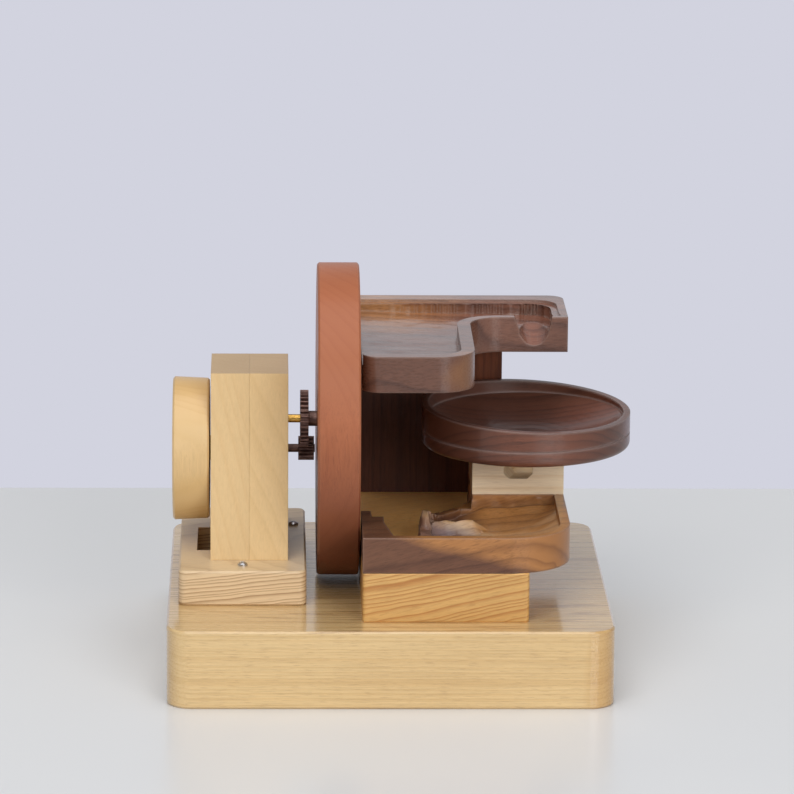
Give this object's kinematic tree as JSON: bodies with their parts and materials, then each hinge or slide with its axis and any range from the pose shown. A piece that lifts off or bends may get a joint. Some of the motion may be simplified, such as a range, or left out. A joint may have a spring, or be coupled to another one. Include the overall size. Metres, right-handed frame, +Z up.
{
  "type": "marble machine",
  "caption": "Wooden marble machine: a hand knob turns a lift wheel through gears, and marbles run back by a top tray, a bowl and a lower tray.",
  "frame": {"origin": "middle of the base board's underside", "axes": "+X to the right from knob to bowl, +Y to the back, +Z up"},
  "size_m": [0.2229, 0.205, 0.1906],
  "materials": {
    "oak": "satin lacquered oak",
    "maple": "satin maple",
    "pale_maple": "pale sanded maple",
    "walnut": "satin walnut",
    "dark_walnut": "oiled dark walnut",
    "padauk": "satin reddish hardwood",
    "birch": "plain dowel",
    "brass": "turned",
    "steel": "bright zinc",
    "bronzed": "dark brown bronzed"
  },
  "bodies": {
    "frame": {"base_board": "oak", "drive_plinth": "maple", "plinth_screws": "steel", "post_outer_board": "maple", "post_inner_board": "maple", "post_dowels": "birch", "wheel_bush_outer": "brass", "wheel_bush_inner": "brass", "drive_bush_outer": "brass", "drive_bush_inner": "brass", "track_block": "oak", "track_screws": "steel", "lower_tray": "walnut", "tray_dowels": "birch", "back_panel": "dark_walnut", "panel_foot_dowels": "birch", "top_tray": "walnut", "panel_top_dowels": "birch", "bowl_block": "pale_maple", "bowl_block_dowels": "birch", "bowl": "dark_walnut"},
    "wheel": {"lift_wheel": "padauk", "wheel_shaft": "brass", "driven_gear": "bronzed", "wheel_collar": "steel", "wheel_collar_screw": "steel"},
    "drive": {"hand_knob": "maple", "drive_shaft": "bronzed", "drive_pinion": "bronzed", "drive_collar": "steel", "drive_collar_screw": "steel", "knob_washer": "brass"}
  },
  "joints": [
    {"name": "wheel_spin", "type": "hinge", "parent": "frame", "child": "wheel", "pos_m": [0, 0, 0.1154], "axis": [1, 0, 0], "continuous": true},
    {"name": "knob_turn", "type": "hinge", "parent": "frame", "child": "drive", "pos_m": [0, 0.00732, 0.09896], "axis": [1, 0, 0], "continuous": true}
  ],
  "couplings": [
    {"joint": "knob_turn", "follows": "wheel_spin", "ratio": -2.75}
  ]
}
